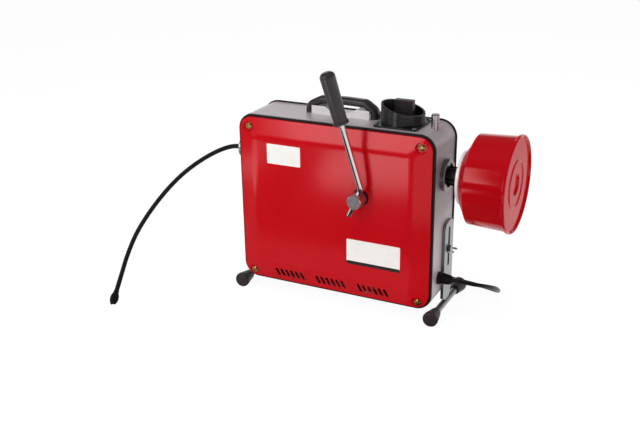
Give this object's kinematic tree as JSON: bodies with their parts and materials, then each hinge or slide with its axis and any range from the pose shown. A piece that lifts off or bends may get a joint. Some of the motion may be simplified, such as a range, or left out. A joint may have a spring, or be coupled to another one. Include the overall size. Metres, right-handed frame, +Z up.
{
  "type": "drain cleaning machine",
  "caption": "Box-shaped drain cleaning machine on clamp-on legs: clamping lever, hollow spindle with a cable drum, reversing switch, carry handle and a flexible drain cable.",
  "frame": {"origin": "floor point under the middle of the machine's box, cables left aside", "axes": "+X along the spindle to the drum, +Y away from the lever side, +Z up"},
  "size_m": [0.6886, 0.4802, 0.4408],
  "materials": {
    "silver_paint": "satin silver-grey paint",
    "red_paint": "glossy red enamel",
    "black_rubber": "matt black rubber",
    "black_plastic": "satin black moulding",
    "chrome": "polished chrome plate",
    "zinc_steel": "bright zinc plate",
    "machined_alloy": "machined alloy",
    "yellow_zinc": "yellow passivated zinc",
    "cable_steel": "oiled dark spring steel",
    "cast_housing": "painted casting",
    "lead_jacket": "black rubber jacket"
  },
  "bodies": {
    "case": {"body_band": "silver_paint", "front_cover": "red_paint", "rear_cover": "red_paint", "front_gasket": "black_rubber", "rear_gasket": "black_rubber", "cover_screws": "yellow_zinc", "end_bolt": "zinc_steel", "nose_collar": "machined_alloy", "rear_collar": "machined_alloy", "front_bearing": "zinc_steel", "rear_bearing": "zinc_steel", "fork_pin": "zinc_steel", "lever_bracket": "zinc_steel", "lever_bush": "black_plastic", "drive_belt": "black_rubber", "motor_housing": "cast_housing", "motor_cradle": "zinc_steel", "capacitor": "machined_alloy", "switch_guard": "black_plastic", "switch_screws": "zinc_steel", "switch_block": "black_plastic", "carry_handle": "black_rubber", "handle_tray": "chrome", "handle_bolts": "zinc_steel", "lock_spring": "zinc_steel", "leg_bolts": "zinc_steel", "cord_gland": "black_plastic", "drain_cable": "cable_steel", "auger_head": "cable_steel", "power_cord": "lead_jacket", "cord_coil": "lead_jacket", "cord_tie": "black_plastic", "plug_lead": "lead_jacket", "mains_plug": "black_rubber"},
    "spindle_set": {"spindle": "zinc_steel", "driven_pulley": "machined_alloy", "inner_cable": "cable_steel", "drum_shell": "red_paint", "drum_lid": "red_paint", "drum_ring": "machined_alloy", "drum_hub": "black_plastic", "cable_pack": "cable_steel"},
    "sleeve": {"thrust_sleeve": "zinc_steel"},
    "jaw_one": {"jaw_a": "zinc_steel"},
    "jaw_two": {"jaw_b": "zinc_steel"},
    "jaw_three": {"jaw_c": "zinc_steel"},
    "fork": {"shift_fork": "cast_housing"},
    "lever": {"lever_shaft": "zinc_steel", "lever_hub": "chrome", "lever_rod": "chrome", "lever_grip": "black_rubber"},
    "motor_rotor": {"motor_shaft": "zinc_steel", "drive_pulley": "machined_alloy"},
    "knob": {"switch_knob": "black_plastic"},
    "lock": {"lock_pin": "chrome"},
    "left_stand": {"left_leg": "zinc_steel", "left_foot_caps": "black_rubber"},
    "right_stand": {"right_leg": "zinc_steel", "right_foot_caps": "black_rubber"}
  },
  "joints": [
    {"name": "lever_swing", "type": "hinge", "parent": "case", "child": "lever", "pos_m": [0.007, 0.01147, 0.217], "axis": [0, -1, 0], "range_deg": [0, 45], "stiffness_Nm_per_rad": 2, "springref_deg": -22.92},
    {"name": "fork_tilt", "type": "hinge", "parent": "case", "child": "fork", "pos_m": [0.007, 0.01147, 0.184], "axis": [0, 1, 0], "range_deg": [0, 7.84]},
    {"name": "sleeve_slide", "type": "slide", "parent": "spindle_set", "child": "sleeve", "axis": [1, 0, 0], "range_m": [0, 0.00998]},
    {"name": "spindle_spin", "type": "hinge", "parent": "case", "child": "spindle_set", "pos_m": [-0.05, 0.01147, 0.257], "axis": [1, 0, 0], "continuous": true},
    {"name": "motor_spin", "type": "hinge", "parent": "case", "child": "motor_rotor", "pos_m": [-0.05, 0.02347, 0.0875], "axis": [1, 0, 0], "continuous": true},
    {"name": "switch_turn", "type": "hinge", "parent": "case", "child": "knob", "pos_m": [0.0575, 0.01147, 0.3365], "axis": [0, 0, 1], "range_deg": [-50, 50]},
    {"name": "lock_press", "type": "slide", "parent": "case", "child": "lock", "axis": [0, 0, 1], "range_m": [-0.006, 0], "stiffness_N_per_m": 800, "springref_m": 0.004, "deforming": ["lock_spring"]},
    {"name": "left_leg_slide", "type": "slide", "parent": "case", "child": "left_stand", "axis": [0, 0, 1], "range_m": [-0.028, 0.006]},
    {"name": "right_leg_slide", "type": "slide", "parent": "case", "child": "right_stand", "axis": [0, 0, 1], "range_m": [-0.028, 0.006]},
    {"name": "jaw_one_close", "type": "slide", "parent": "spindle_set", "child": "jaw_one", "axis": [0, 0, -1], "range_m": [0, 0.00105]},
    {"name": "jaw_two_close", "type": "slide", "parent": "spindle_set", "child": "jaw_two", "axis": [0, 0.866, 0.5], "range_m": [0, 0.00105]},
    {"name": "jaw_three_close", "type": "slide", "parent": "spindle_set", "child": "jaw_three", "axis": [0, -0.866, 0.5], "range_m": [0, 0.00105]}
  ],
  "couplings": [
    {"joint": "fork_tilt", "follows": "lever_swing", "ratio": 0.17415},
    {"joint": "sleeve_slide", "follows": "lever_swing", "m_per_rad": 0.012703},
    {"joint": "motor_spin", "follows": "spindle_spin", "ratio": 3.0625},
    {"joint": "jaw_one_close", "follows": "lever_swing", "m_per_rad": 0.0013338},
    {"joint": "jaw_two_close", "follows": "lever_swing", "m_per_rad": 0.0013338},
    {"joint": "jaw_three_close", "follows": "lever_swing", "m_per_rad": 0.0013338}
  ]
}
